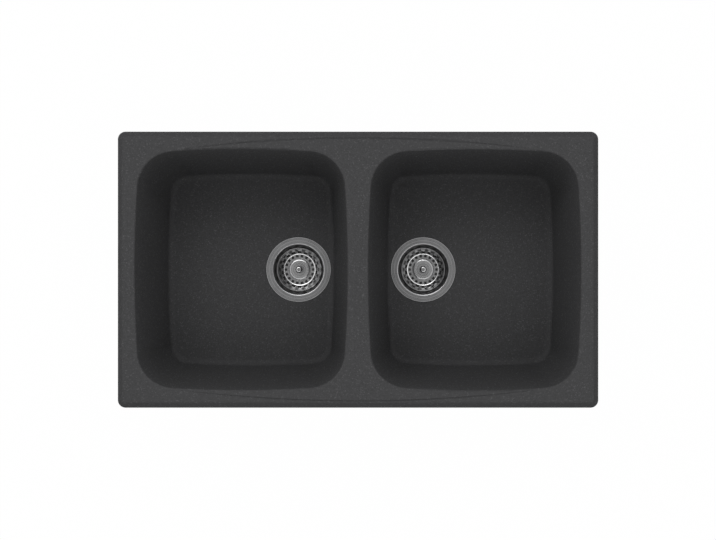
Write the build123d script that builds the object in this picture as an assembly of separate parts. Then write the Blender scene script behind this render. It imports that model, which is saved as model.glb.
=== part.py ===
from build123d import *
from math import atan, degrees, hypot, radians, sqrt, tan
import os

# Inset double bowl kitchen sink: one composite moulding with two equal bowls, a basket
# strainer waste in each bowl, and clamps under the rim that grip the worktop.
#
# Frame: millimetres. The origin is the sink's centre in plan, at the height of the
# worktop's top face, which the underside of the rim rests on. +X runs to the right,
# +Y to the back and +Z up.

# ---- the moulding: rim and deck ----
overall_width = 870.0
overall_depth = 500.0
outer_corner_radius = 14.0
rim_height = 14.0            # deck above the worktop
rim_slope_angle = 52.0       # degrees, of the outer edge's slope
rim_slope_width = 10.4       # of the slope in plan, before it is rounded
rim_slope_round = 10.5       # large round that blends the deck into the slope
rim_nose_round = 1.2         # small round between the slope and the upright edge

# ---- the moulding: bowls ----
side_rim_width = 31.9        # outer edge to bowl, at the middle of the left and right sides
front_rim_width = 32.3       # outer edge to bowl, at the middle of the front and back
divider_width = 36.6         # between the bowls, at its narrowest
side_bow_radius = 2300.0     # the bowls' sides bow outwards by this radius
front_bow_radius = 1895.0    # and so do their fronts and backs
bowl_corner_radius = 67.8
bowl_drop = 200.0            # deck to bowl floor
wall_draft = 9.7             # degrees
wall_thickness = 8.0
floor_thickness = 10.0
floor_round = 12.5
bowl_edge_round = 3.5
under_rim_round = 4.0        # between a bowl's outer wall and the rim's underside

# ---- the two engraved arcs on the deck ----
arc_radius = 2520.0
arc_inset = 12.5             # outer edge to the arc's middle
arc_reach = 345.0            # from the centre line to where the groove runs out
arc_groove_width = 8.0
arc_groove_depth = 2.2
arc_flank_radius = 8.0       # the groove's flanks swell up to a crease in its middle

# ---- seal strip under the rim ----
seal_inset = 4.0
seal_width = 4.0
seal_thickness = 2.0

# ---- drain openings ----
drain_overlap = 7.6          # how far the flange's recess reaches into the floor's round
drain_hole_clearance = 0.8
flange_clearance = 0.8

# ---- strainer cup, pressed sheet ----
cup_sheet = 1.2
cup_mouth_radius = 47.0
cup_taper = 3.0              # the cup's mouth is larger than its floor by this
cup_depth = 38.0             # bowl floor to the stopper's seat
flange_width = 15.0
flange_proud = 0.4           # flange above the bowl floor
cup_lip_round = 4.5
cup_floor_round = 4.0
cup_windows = 6              # through the cup's floor
cup_window_land = 2.5        # dimple's edge to the windows
stopper_land = 8.0           # windows' outer edge to the stopper's edge
cup_spoke_width = 6.0
dimple_top_radius = 12.5     # the dimple that takes the screw head
dimple_floor_radius = 9.0
dimple_depth = 7.0

# ---- gaskets ----
flange_gasket_thickness = 1.6
flange_gasket_margin = 1.0   # flange edge to gasket edge
body_gasket_thickness = 2.5

# ---- waste body, moulded plastic ----
body_clearance = 0.6         # around the cup
body_wall = 3.2
collar_width = 10.2
collar_thickness = 4.5
body_floor_gap = 15.0        # stopper's seat to the funnel's upper edge
funnel_height = 10.0
spigot_radius = 23.9         # 1 1/2 inch waste thread
spigot_bore_radius = 20.0
spigot_length = 34.0
boss_radius = 8.0
boss_length = 22.0
boss_ribs = 4
boss_rib_width = 3.0

# ---- screw that clamps cup and waste body together ----
cup_screw_radius = 3.0
cup_screw_head_radius = 6.0
cup_screw_head_height = 2.6
cup_screw_tip = 1.5          # past the insert
insert_radius = 4.5
insert_length = 16.0
thread_clearance = 0.05

# ---- basket, pressed sheet ----
basket_sheet = 0.9
basket_rim_gap = 4.8         # between the basket's rim and the cup's mouth
basket_rim_width = 2.0
basket_rim_drop = 4.0        # bowl floor down to the basket's rim
basket_floor_gap = 11.6      # between the basket's floor and the cup's wall
basket_floor_round = 4.5
basket_rim_round = 1.0
basket_hole_size = 5.0
basket_hole_inset = 5.9      # edge of the basket's floor to the middle of the floor holes
basket_hole_count = 18
basket_slot_width = 7.2
basket_slot_inset = 1.0      # how far the side slots reach into the floor
basket_slot_height = 12.5    # above the underside of the floor

# ---- basket hub, knob, stopper ----
stopper_gap = 8.0            # between the stopper and the cup's wall
stopper_thickness = 5.0
stopper_edge_round = 1.4
stem_radius = 3.0
stem_running_gap = 0.08
stem_hole_gap = 1.5          # basket floor around the stem
hub_hole_gap = 5.5           # hub's edge to the middle of the floor holes
hub_thickness = 3.2
hub_edge_round = 2.6
hub_sleeve_radius = 5.2
hub_sleeve_height = 2.0
knob_radius = 6.6
knob_height = 8.0
knob_neck_radius = 4.4
knob_top_drop = 9.0          # bowl floor down to the knob's top
knob_dish_radius = 4.0
knob_dish_depth = 0.9
clip_radius = 5.5
clip_thickness = 2.2
stem_tip = 0.8               # stem past the clip

# ---- worktop clamps ----
clamp_pitch = 300.0          # along the front and the back
clamp_inset = 16.0           # outer edge to the screw's axis
boss_outer_radius = 5.5
boss_drop = 16.0             # below the worktop's top face
boss_web_width = 8.0
bush_radius = 3.6
bush_length = 14.0
screw_radius = 2.5
screw_running_gap = 0.08
screw_travel = 10.0
screw_engagement = 8.0       # in the bush on the thickest worktop
screw_end_gap = 1.0
screw_flange_radius = 5.0
screw_flange_thickness = 1.2
screw_hex_width = 8.0
screw_hex_height = 3.3
screw_slot_width = 1.2
screw_slot_depth = 1.4
worktop_thickest = 38.0
clamp_sheet = 2.0
clamp_half_width = 5.5
clamp_toe_reach = 15.0       # screw's axis to the toe's outer face
clamp_toe_rise = 6.0
clamp_heel_reach = 7.5
clamp_heel_round = 4.0
clamp_bend_round = 1.0       # inside of the bend
clamp_hole_gap = 0.3
clamp_notch = 1.4            # depth of the notches between the toe's teeth
clamp_notch_pitch = 3.6

# ---- worked out from the sizes above ----
deck_z = rim_height
floor_z = deck_z - bowl_drop
underside_z = floor_z - floor_thickness
bowl_half_width = (overall_width - 2 * side_rim_width - divider_width) / 4
bowl_half_depth = overall_depth / 2 - front_rim_width
bowl_centre_x = divider_width / 2 + bowl_half_width
flange_radius = cup_mouth_radius + flange_width
drain_hole_radius = cup_mouth_radius + cup_sheet + drain_hole_clearance
recess_radius = flange_radius + flange_clearance
wall_lean = bowl_drop * tan(radians(wall_draft))
drain_x = divider_width / 2 + wall_lean + floor_round - drain_overlap + recess_radius
recess_depth = flange_gasket_thickness + cup_sheet - flange_proud
clamp_toe_z = -worktop_thickest
clamp_plate_top_z = clamp_toe_z - clamp_toe_rise
clamp_plate_bottom_z = clamp_plate_top_z - clamp_sheet
screw_tip_z = -boss_drop + screw_engagement
bush_hole_top_z = screw_tip_z + screw_travel + screw_end_gap
hole_overrun = 1.0           # how far cutting tools run past a face

# The strainers are drawn about their own axis, with z = 0 at the bowl floor.
seat_z = -cup_depth
cup_floor_radius = cup_mouth_radius - cup_taper
dimple_floor_z = seat_z - dimple_depth
body_gasket_top_z = -floor_thickness
collar_top_z = body_gasket_top_z - body_gasket_thickness
body_bore_radius = cup_mouth_radius + cup_sheet + body_clearance
collar_radius = body_bore_radius + collar_width
funnel_top_z = seat_z - body_floor_gap
boss_top_z = dimple_floor_z - cup_sheet
spigot_top_z = funnel_top_z - funnel_height
spigot_end_z = spigot_top_z - spigot_length
stopper_radius = cup_floor_radius - stopper_gap
cup_window_inner = dimple_top_radius + cup_window_land
cup_window_outer = stopper_radius - stopper_land
basket_rim_z = -basket_rim_drop
basket_bottom_z = seat_z + stopper_thickness
basket_rim_radius = cup_mouth_radius - basket_rim_gap
basket_mouth_radius = basket_rim_radius - basket_rim_width
basket_floor_radius = cup_floor_radius - basket_floor_gap
basket_hole_ring = basket_floor_radius - basket_hole_inset
basket_slot_start = basket_floor_radius - basket_slot_inset
hub_radius = basket_hole_ring - hub_hole_gap
hub_bottom_z = basket_bottom_z + basket_sheet
stem_end_z = seat_z - clip_thickness - stem_tip


def write(node, shape):
    """Write one node's STEP file."""
    export_step(shape, f"parts/{node}.step")


def section(points, rounds):
    """A closed section in the XZ plane, with one corner round for each point."""
    return Plane.XZ * make_face(FilletPolyline(*points, radius=rounds, close=True))


def turned(points, rounds=None):
    """A solid turned about the Z axis from (radius, height) points."""
    if rounds is None:
        rounds = [0] * len(points)
    return revolve(section(points, rounds), Axis.Z)


def ring(inner_radius, outer_radius, bottom, top):
    """A flat ring about the Z axis."""
    return turned(
        [(inner_radius, bottom), (outer_radius, bottom), (outer_radius, top), (inner_radius, top)]
    )


def rod(radius, bottom, top):
    """A cylinder on the Z axis."""
    return Pos(0, 0, bottom) * extrude(Circle(radius), top - bottom)


def away_from(centre, through, distance):
    """The point at a distance from centre, in the direction of through."""
    scale = distance / hypot(through[0] - centre[0], through[1] - centre[1])
    return tuple(c + (t - c) * scale for c, t in zip(centre, through))


# ---- the moulding ----
def bowl_outline(inset, height):
    """One bowl's plan outline, eight tangent arcs, drawn inside the deck's opening."""
    half_width = bowl_half_width - inset
    half_depth = bowl_half_depth - inset
    side_radius = side_bow_radius - inset
    front_radius = front_bow_radius - inset
    corner_radius = bowl_corner_radius - inset
    side_centre = (half_width - side_radius, 0)
    front_centre = (0, half_depth - front_radius)

    # The corner arc touches both bows from inside, so its centre is where two circles
    # about their centres meet.
    apart = hypot(side_centre[0], front_centre[1])
    to_side = side_radius - corner_radius
    to_front = front_radius - corner_radius
    along = (to_side**2 - to_front**2 + apart**2) / (2 * apart)
    across = sqrt(to_side**2 - along**2)
    step_x = -side_centre[0] / apart
    step_y = front_centre[1] / apart
    corner_centre = (
        side_centre[0] + along * step_x - across * step_y,
        along * step_y + across * step_x,
    )
    side_end = away_from(side_centre, corner_centre, side_radius)
    front_end = away_from(front_centre, corner_centre, front_radius)
    chord_middle = ((side_end[0] + front_end[0]) / 2, (side_end[1] + front_end[1]) / 2)
    corner_middle = away_from(corner_centre, chord_middle, corner_radius)

    def at(point, x_sign, y_sign):
        return (point[0] * x_sign, point[1] * y_sign)

    arcs = []
    for x_sign in (1, -1):
        side_apex = (half_width * x_sign, 0)
        ends = [at(side_end, x_sign, -1), at(side_end, x_sign, 1)]
        arcs.append(ThreePointArc(ends[0], side_apex, ends[1]))
    for y_sign in (1, -1):
        front_apex = (0, half_depth * y_sign)
        ends = [at(front_end, 1, y_sign), at(front_end, -1, y_sign)]
        arcs.append(ThreePointArc(ends[0], front_apex, ends[1]))
    for x_sign in (1, -1):
        for y_sign in (1, -1):
            corner = [at(p, x_sign, y_sign) for p in (side_end, corner_middle, front_end)]
            arcs.append(ThreePointArc(*corner))
    return Pos(0, 0, height) * make_face(Curve() + arcs)


def bowl_form(offset, top, bottom, bottom_round):
    """A drafted bowl shape between two heights, grown outwards by offset."""

    def inset(height):
        return (deck_z - height) * tan(radians(wall_draft)) - offset

    outlines = [bowl_outline(inset(height), height) for height in (bottom, top)]
    form = loft(outlines, ruled=True)
    return fillet(form.edges().group_by(Axis.Z)[0], bottom_round)


def rim_slab():
    """The rim and deck as one slab with a softly sloping outer edge."""
    slab = extrude(RectangleRounded(overall_width, overall_depth, outer_corner_radius), rim_height)
    slope_drop = rim_slope_width * tan(radians(rim_slope_angle))
    top = slab.faces().sort_by(Axis.Z)[-1]
    slab = chamfer(top.edges(), rim_slope_width, slope_drop, reference=top)
    # the large round ends before the corner's curve would close up
    blend_limit = (outer_corner_radius - rim_slope_width) / tan(radians(rim_slope_angle / 2))
    blend = min(rim_slope_round, 0.95 * blend_limit)
    slab = fillet(slab.edges().group_by(Axis.Z)[-1], blend)
    nose_z = rim_height - slope_drop
    nose = slab.edges().filter_by_position(Axis.Z, nose_z - 0.01, nose_z + 0.01)
    return fillet(nose, rim_nose_round)


def clamp_places():
    """Where the clamps' screws stand, each with X pointing out of the sink."""
    side = overall_width / 2 - clamp_inset
    end = overall_depth / 2 - clamp_inset
    steps = (-clamp_pitch, 0, clamp_pitch)
    front = [(x, -end, -90) for x in steps]
    back = [(x, end, 90) for x in reversed(steps)]
    around = front + [(side, 0, 0)] + back + [(-side, 0, 180)]
    return [Pos(x, y, 0) * Rot(0, 0, angle) for x, y, angle in around]


def clamp_boss():
    """Boss under the rim, with a web that ties it to the bowl's wall."""
    web_length = max(side_rim_width, front_rim_width) - clamp_inset + wall_thickness / 2
    web = Pos(-web_length / 2, 0, 0) * Rectangle(web_length, boss_web_width)
    return extrude(Circle(boss_outer_radius) + web, -boss_drop)


def engraved_arc():
    """Cutter for the front arc: a slightly tipped ring that runs out at both ends."""
    half_width = arc_groove_width / 2
    edges = [(-half_width, 0), (half_width, 0)]
    crease = (0, -arc_groove_depth)
    flanks = [RadiusArc(edges[0], crease, arc_flank_radius)]
    flanks += [RadiusArc(crease, edges[1], arc_flank_radius)]
    top = Polyline(edges[1], (half_width, rim_height), (-half_width, rim_height), edges[0])
    groove = make_face(flanks + [top])

    run_back = arc_radius - sqrt(arc_radius**2 - arc_reach**2)
    tip = degrees(atan(arc_groove_depth / run_back))
    half_sweep = 1.15 * degrees(arc_reach / arc_radius)
    upright = Plane.XZ * Pos(arc_radius, 0) * groove
    bent = revolve(Rot(0, 0, -90 - half_sweep) * upright, Axis.Z, 2 * half_sweep)
    tipped = Rot(tip, 0, 0) * Pos(0, arc_radius, 0) * bent
    return Pos(0, arc_inset - overall_depth / 2, deck_z) * tipped


def seal_outline(inset):
    """Rim outline, drawn inside the outer edge."""
    return RectangleRounded(
        overall_width - 2 * inset, overall_depth - 2 * inset, outer_corner_radius - inset
    )


def rim_seal_strip():
    """Seal strip that fills its groove, flush with the rim's underside."""
    band = seal_outline(seal_inset) - seal_outline(seal_inset + seal_width)
    return extrude(band, seal_thickness)


def sink_body():
    """The moulding, with its bowls, bosses, drain recesses and grooves."""
    bowl_centres = [Pos(-bowl_centre_x, 0, 0), Pos(bowl_centre_x, 0, 0)]
    shell = bowl_form(wall_thickness, deck_z / 2, underside_z, floor_round + wall_thickness)
    cavity = bowl_form(0, deck_z + hole_overrun, floor_z, floor_round)

    body = rim_slab() + [centre * shell for centre in bowl_centres]
    under_rim = body.faces().filter_by(Plane.XY).sort_by(lambda face: abs(face.center().Z))[0]
    wall_tops = [edge for wire in under_rim.inner_wires() for edge in wire.edges()]
    body = fillet(wall_tops, under_rim_round)
    body += [place * clamp_boss() for place in clamp_places()]
    body -= [centre * cavity for centre in bowl_centres]
    deck = body.faces().filter_by(Plane.XY).sort_by(Axis.Z)[-1]
    bowl_edges = [edge for wire in deck.inner_wires() for edge in wire.edges()]
    body = fillet(bowl_edges, bowl_edge_round)

    front_arc = engraved_arc()
    body -= [front_arc, mirror(front_arc, Plane.XZ)]
    drain = rod(drain_hole_radius, underside_z - hole_overrun, floor_z + hole_overrun)
    drain += rod(recess_radius, floor_z - recess_depth, floor_z + floor_round / 2)
    body -= [Pos(x, 0, 0) * drain for x in (-drain_x, drain_x)]
    bush_hole = rod(bush_radius, -boss_drop - hole_overrun, bush_length - boss_drop)
    bush_hole += rod(screw_radius + clamp_hole_gap, -boss_drop, bush_hole_top_z)
    body -= [place * bush_hole for place in clamp_places()]
    return body - rim_seal_strip()


# ---- strainer: what stays in the sink ----
def strainer_cup():
    """Flange and cup in one pressed sheet, with windows in its floor."""
    top_line = FilletPolyline(
        (flange_radius, flange_proud),
        (cup_mouth_radius, flange_proud),
        (cup_floor_radius, seat_z),
        (dimple_top_radius, seat_z),
        (dimple_floor_radius, dimple_floor_z),
        (cup_screw_radius + thread_clearance, dimple_floor_z),
        radius=[cup_lip_round, cup_floor_round, cup_sheet, cup_sheet],
    )
    sheet = make_face(offset(top_line, cup_sheet, side=Side.LEFT, closed=True))
    cup = revolve(Plane.XZ * sheet, Axis.Z)

    window = Circle(cup_window_outer) - Circle(cup_window_inner)
    for place in PolarLocations(0, cup_windows):
        window -= place * Pos(cup_window_outer, 0) * Rectangle(2 * cup_window_outer, cup_spoke_width)
    depth = 2 * cup_sheet + 2 * hole_overrun
    cup -= Pos(0, 0, seat_z - depth / 2) * extrude(window, depth)
    return cup


def flange_gasket():
    """Foam washer between the flange and the recess in the bowl floor."""
    return ring(
        cup_mouth_radius + cup_lip_round + cup_sheet,
        flange_radius - flange_gasket_margin,
        -recess_depth,
        -recess_depth + flange_gasket_thickness,
    )


def body_gasket():
    """Rubber washer between the bowl's underside and the waste body."""
    return ring(drain_hole_radius, collar_radius, collar_top_z, body_gasket_top_z)


def waste_body():
    """Collar, pot, funnel and threaded spigot, with a boss on ribs in the middle."""
    outer_radius = body_bore_radius + body_wall
    body = turned(
        [
            (body_bore_radius, collar_top_z),
            (collar_radius, collar_top_z),
            (collar_radius, collar_top_z - collar_thickness),
            (outer_radius, collar_top_z - collar_thickness),
            (outer_radius, funnel_top_z),
            (spigot_radius, spigot_top_z),
            (spigot_radius, spigot_end_z),
            (spigot_bore_radius, spigot_end_z),
            (spigot_bore_radius, spigot_top_z + body_wall),
            (body_bore_radius, funnel_top_z + body_wall),
        ],
        [0, 1, 1, 2, 4, 0, 0.8, 0.8, 3, 3],
    )
    boss_bottom_z = boss_top_z - boss_length
    boss = rod(boss_radius, boss_bottom_z, boss_top_z)
    for place in PolarLocations(0, boss_ribs):
        # each rib ends inside the pot's wall and follows the funnel down
        rib = Plane.XZ * make_face(
            Polyline(
                (0, boss_top_z - boss_rib_width),
                (body_bore_radius + body_wall / 2, boss_top_z - boss_rib_width),
                (body_bore_radius + body_wall / 2, funnel_top_z),
                (spigot_bore_radius + body_wall / 2, spigot_top_z),
                (spigot_bore_radius + body_wall / 2, boss_bottom_z),
                (0, boss_bottom_z),
                close=True,
            )
        )
        boss += place * extrude(rib, boss_rib_width / 2, both=True)
    bore = rod(insert_radius, boss_top_z - insert_length, boss_top_z)
    bore += rod(cup_screw_radius + clamp_hole_gap, boss_bottom_z - hole_overrun, boss_top_z)
    return body + boss - bore


def brass_insert():
    """Threaded insert in the waste body's boss."""
    return ring(
        cup_screw_radius + thread_clearance, insert_radius, boss_top_z - insert_length, boss_top_z
    )


def cup_screw():
    """Pan head screw with a slot, from the dimple down through the insert."""
    head_top_z = dimple_floor_z + cup_screw_head_height
    tip_z = boss_top_z - insert_length - cup_screw_tip
    screw = turned(
        [
            (0, tip_z),
            (cup_screw_radius, tip_z),
            (cup_screw_radius, dimple_floor_z),
            (cup_screw_head_radius, dimple_floor_z),
            (cup_screw_head_radius, head_top_z),
            (0, head_top_z),
        ],
        [0, 0.6, 0, 0, 1.5, 0],
    )
    slot = Box(2 * cup_screw_head_radius, screw_slot_width, 2 * screw_slot_depth)
    return screw - Pos(0, 0, head_top_z) * slot


# ---- strainer: what lifts out ----
def basket():
    """Perforated basket: square holes in the floor, slots up the foot of the wall."""
    inside_line = FilletPolyline(
        (basket_rim_radius, basket_rim_z),
        (basket_mouth_radius, basket_rim_z),
        (basket_floor_radius, hub_bottom_z),
        (stem_radius + stem_hole_gap, hub_bottom_z),
        radius=[basket_rim_round, basket_floor_round],
    )
    sheet = make_face(offset(inside_line, basket_sheet, side=Side.LEFT, closed=True))
    shell = revolve(Plane.XZ * sheet, Axis.Z)

    hole = Box(basket_hole_size, basket_hole_size, 4 * basket_sheet)
    holes = PolarLocations(basket_hole_ring, basket_hole_count)
    slot_length = basket_rim_radius - basket_slot_start
    slot = Pos(slot_length / 2, 0, 0) * Box(slot_length, basket_slot_width, 2 * basket_slot_height)
    half_pitch = 180 / basket_hole_count
    slots = PolarLocations(basket_slot_start, basket_hole_count, start_angle=half_pitch)
    cuts = [place * hole for place in holes] + [place * slot for place in slots]
    return shell - [Pos(0, 0, basket_bottom_z) * cut for cut in cuts]


def basket_hub():
    """Round plate on the basket's floor that runs on the stem."""
    top = hub_bottom_z + hub_thickness
    bore = stem_radius + stem_running_gap
    return turned(
        [
            (bore, hub_bottom_z),
            (hub_radius, hub_bottom_z),
            (hub_radius, top),
            (hub_sleeve_radius, top),
            (hub_sleeve_radius, top + hub_sleeve_height),
            (bore, top + hub_sleeve_height),
        ],
        [0, 0, hub_edge_round, 0.8, 0.6, 0],
    )


def basket_knob():
    """Knob with a dished top, and the stem that runs down to the clip."""
    top = -knob_top_drop
    neck = top - knob_height
    return turned(
        [
            (0, stem_end_z),
            (stem_radius, stem_end_z),
            (stem_radius, neck - 2),
            (knob_neck_radius, neck),
            (knob_radius, top - knob_height / 2),
            (knob_radius, top),
            (knob_dish_radius, top),
            (knob_dish_radius / 2, top - knob_dish_depth),
            (0, top - knob_dish_depth),
        ],
        [0, 0.5, 1, 2, 1.2, 1.2, 1, 1, 0],
    )


def basket_plug():
    """Rubber stopper that seals on the cup's floor."""
    return turned(
        [
            (stem_radius, seat_z),
            (stopper_radius, seat_z),
            (stopper_radius, basket_bottom_z),
            (stem_radius, basket_bottom_z),
        ],
        [0, stopper_edge_round, stopper_edge_round, 0],
    )


def stem_clip():
    """Clip that keeps the stopper on the stem."""
    return ring(stem_radius, clip_radius, seat_z - clip_thickness, seat_z)


# ---- worktop clamps ----
def clamp_bush():
    """Threaded bush in a boss under the rim."""
    return ring(
        screw_radius + screw_running_gap, bush_radius, -boss_drop, bush_length - boss_drop
    )


def clamp_screw():
    """Clamp screw with a flanged hexagon head that also takes a flat driver."""
    head_z = clamp_plate_bottom_z - screw_flange_thickness
    shank = rod(screw_radius, head_z, screw_tip_z)
    shank = chamfer(shank.edges().group_by(Axis.Z)[-1], 0.6)
    screw = shank + rod(screw_flange_radius, head_z, clamp_plate_bottom_z)
    hexagon = extrude(RegularPolygon(screw_hex_width / 2, 6, major_radius=False), -screw_hex_height)
    screw += Pos(0, 0, head_z) * hexagon
    slot = Box(2 * screw_hex_width, screw_slot_width, 2 * screw_slot_depth)
    return screw - Pos(0, 0, head_z - screw_hex_height) * slot


def clamp():
    """Bent strip: a plate on the screw's head and an upright toe with teeth."""
    toe_inner = clamp_toe_reach - clamp_sheet
    strip = section(
        [
            (-clamp_heel_reach, clamp_plate_bottom_z),
            (clamp_toe_reach, clamp_plate_bottom_z),
            (clamp_toe_reach, clamp_toe_z),
            (toe_inner, clamp_toe_z),
            (toe_inner, clamp_plate_top_z),
            (-clamp_heel_reach, clamp_plate_top_z),
        ],
        [0, clamp_bend_round + clamp_sheet, 0, 0, clamp_bend_round, 0],
    )
    piece = extrude(strip, clamp_half_width, both=True)
    heel = piece.edges().filter_by(Axis.Z).group_by(Axis.X)[0]
    piece = fillet(heel, clamp_heel_round)
    hole = rod(screw_radius + clamp_hole_gap, clamp_plate_bottom_z, clamp_plate_top_z)
    side = sqrt(2) * clamp_notch
    notch = Rot(45, 0, 0) * Box(4 * clamp_sheet, side, side)
    notches = [
        Pos(clamp_toe_reach, y, clamp_toe_z) * notch
        for y in (-clamp_notch_pitch / 2, clamp_notch_pitch / 2)
    ]
    return piece - hole - notches


# ---- write every node ----
os.makedirs("parts", exist_ok=True)
write("sink_body", sink_body())
write("rim_seal_strip", rim_seal_strip())
write("clamp_bushes", Compound([place * clamp_bush() for place in clamp_places()]))
for number, place in enumerate(clamp_places(), start=1):
    write(f"clamp_{number}", place * clamp())
    write(f"clamp_screw_{number}", place * clamp_screw())

strainer_pieces = {
    "strainer_cup": strainer_cup(),
    "flange_gasket": flange_gasket(),
    "body_gasket": body_gasket(),
    "waste_body": waste_body(),
    "brass_insert": brass_insert(),
    "cup_screw": cup_screw(),
    "basket": basket(),
    "basket_hub": basket_hub(),
    "basket_knob": basket_knob(),
    "basket_plug": basket_plug(),
    "stem_clip": stem_clip(),
}
for side, x in (("left", -drain_x), ("right", drain_x)):
    for name, piece in strainer_pieces.items():
        write(f"{side}_{name}", Pos(x, 0, floor_z) * piece)
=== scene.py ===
# %% [markdown]
# # A double bowl kitchen sink in stone composite
# The sink is one thick moulding of quartz sand and resin, with a basket strainer in each
# bowl and worktop clamps under its rim. Its pieces are already built at real size, so
# this lesson loads them and gives each one the finish that the real thing has. A few
# pieces also get finer shapes than their plain solids: screw threads and rolled edges.

# %% Load the pieces
import math

import bmesh
import bpy
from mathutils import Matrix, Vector


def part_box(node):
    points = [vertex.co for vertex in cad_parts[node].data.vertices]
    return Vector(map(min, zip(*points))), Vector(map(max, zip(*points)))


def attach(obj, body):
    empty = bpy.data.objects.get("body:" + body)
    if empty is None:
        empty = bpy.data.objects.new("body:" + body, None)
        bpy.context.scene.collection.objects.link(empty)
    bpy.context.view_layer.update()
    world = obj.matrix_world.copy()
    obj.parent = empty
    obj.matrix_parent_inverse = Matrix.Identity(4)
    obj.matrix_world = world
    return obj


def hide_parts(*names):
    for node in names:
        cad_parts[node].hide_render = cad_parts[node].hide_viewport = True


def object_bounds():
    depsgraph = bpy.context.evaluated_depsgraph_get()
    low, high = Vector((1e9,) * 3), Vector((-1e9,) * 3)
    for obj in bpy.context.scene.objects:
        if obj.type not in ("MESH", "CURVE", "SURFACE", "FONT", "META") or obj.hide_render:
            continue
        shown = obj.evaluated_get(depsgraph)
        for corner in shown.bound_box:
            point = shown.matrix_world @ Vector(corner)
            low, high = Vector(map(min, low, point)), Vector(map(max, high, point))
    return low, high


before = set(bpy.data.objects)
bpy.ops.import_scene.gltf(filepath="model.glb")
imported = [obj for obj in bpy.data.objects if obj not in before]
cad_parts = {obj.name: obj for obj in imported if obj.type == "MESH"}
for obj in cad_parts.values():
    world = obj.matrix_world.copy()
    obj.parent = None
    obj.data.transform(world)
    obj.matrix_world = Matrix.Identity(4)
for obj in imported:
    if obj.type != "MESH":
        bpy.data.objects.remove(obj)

CAD_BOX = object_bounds()
MM = 0.001
print("pieces:", len(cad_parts), "size:", [round(b - a, 3) for a, b in zip(*CAD_BOX)])

# %% [markdown]
# ## Where things are
# Everything that follows is placed from the pieces themselves. A height or an axis could
# be typed in again here, but then it would be wrong as soon as a size changes. So the
# deck's top and each strainer's axis are read from the boxes of the pieces, and the
# clamps are counted.

# %% Measure the sink
SIDES = ("left", "right")
clamp_count = sum(node.startswith("clamp_screw_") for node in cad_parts)
CLAMPS = range(1, clamp_count + 1)


def middle(node):
    """Centre of a piece's box."""
    low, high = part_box(node)
    return (low + high) / 2


deck_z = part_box("sink_body")[1].z
drain_centre = {side: middle(f"{side}_strainer_cup") for side in SIDES}
print("deck at", round(deck_z, 4), "strainers at", [round(c.x, 4) for c in drain_centre.values()])
print("clamps:", clamp_count)

# %% [markdown]
# ## A short way to wire nodes
# A material is a small network of nodes. It can be wired by hand in the shader editor.
# In a script the same wiring soon hides what it is for, so one helper makes a node, sets
# its options and fills or links its inputs, and each finish below reads like a recipe.


# %% Node helpers
def place_node(tree, kind, inputs=None, **options):
    """Add a node; each input is either a value or another node's output."""
    new = tree.nodes.new(kind)
    for option, value in options.items():
        setattr(new, option, value)
    for name, value in (inputs or {}).items():
        socket = new.inputs[name]
        if isinstance(value, bpy.types.NodeSocket):
            tree.links.new(value, socket)
        else:
            socket.default_value = value
    return new


def maths(tree, operation, first, second=0.0):
    """A Math node's output."""
    made = place_node(tree, "ShaderNodeMath", {0: first, 1: second}, operation=operation)
    return made.outputs[0]


def ramp(tree, value, low, high, out_low=0.0, out_high=1.0):
    """Stretch a value from one range to another, held at both ends."""
    made = place_node(
        tree,
        "ShaderNodeMapRange",
        {"Value": value, "From Min": low, "From Max": high, "To Min": out_low, "To Max": out_high},
    )
    return made.outputs["Result"]


print("helpers: place_node, maths, ramp")

# %% [markdown]
# Noise is the raw stuff of most surfaces. Its Scale says how many of its features fit in
# a metre, and a maker thinks of how large one is, so a helper turns one into the other.


# %% Noise helpers
def object_place(tree):
    """Where a point is, in the piece's own metres."""
    return place_node(tree, "ShaderNodeTexCoord").outputs["Object"]


def per_metre(tree, size):
    """The Scale of a pattern whose features have a size."""
    return maths(tree, "DIVIDE", 1.0, size)


def noise(tree, where, scale, detail, roughness=0.5):
    """Noise through space."""
    made = place_node(
        tree,
        "ShaderNodeTexNoise",
        {"Vector": where, "Scale": scale, "Detail": detail, "Roughness": roughness},
    )
    return made.outputs["Fac"]


def noise_along(tree, distance, detail):
    """Noise that changes with one distance only."""
    made = place_node(
        tree,
        "ShaderNodeTexNoise",
        {"W": distance, "Scale": 1.0, "Detail": detail},
        noise_dimensions="1D",
    )
    return made.outputs["Fac"]


print("helpers: object_place, per_metre, noise, noise_along")

# %% [markdown]
# Three more helpers do the steps that every finish needs: mixing two colours by a mask,
# and opening and closing a node group. A group is a piece of wiring with named inputs and
# outputs, built once and placed in many materials, each time with its own values.


# %% Colour and group helpers
def blend_colours(tree, mask, first, second):
    """Mix two colours by a mask."""
    made = place_node(tree, "ShaderNodeMix", {"Factor": mask}, data_type="RGBA")
    for socket, colour in ((made.inputs[6], first), (made.inputs[7], second)):
        if isinstance(colour, bpy.types.NodeSocket):
            tree.links.new(colour, socket)
        else:
            socket.default_value = (*colour, 1.0)
    return made.outputs[2]


def start_group(name, inputs, outputs):
    """A node group with named number inputs and outputs."""
    tree = bpy.data.node_groups.new(name, "ShaderNodeTree")
    for label, value in inputs.items():
        socket = tree.interface.new_socket(label, in_out="INPUT", socket_type="NodeSocketFloat")
        socket.default_value = value
    for label in outputs:
        tree.interface.new_socket(label, in_out="OUTPUT", socket_type="NodeSocketFloat")
    entry = tree.nodes.new("NodeGroupInput")
    leave = tree.nodes.new("NodeGroupOutput")
    return tree, entry.outputs, leave.inputs


def put_out(tree, result, values):
    """Link a group's patterns to its named outputs."""
    for label, value in values.items():
        tree.links.new(value, result[label])
    print("group:", tree.name, len(tree.nodes), "nodes")


print("helpers: blend_colours, start_group, put_out")

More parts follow.
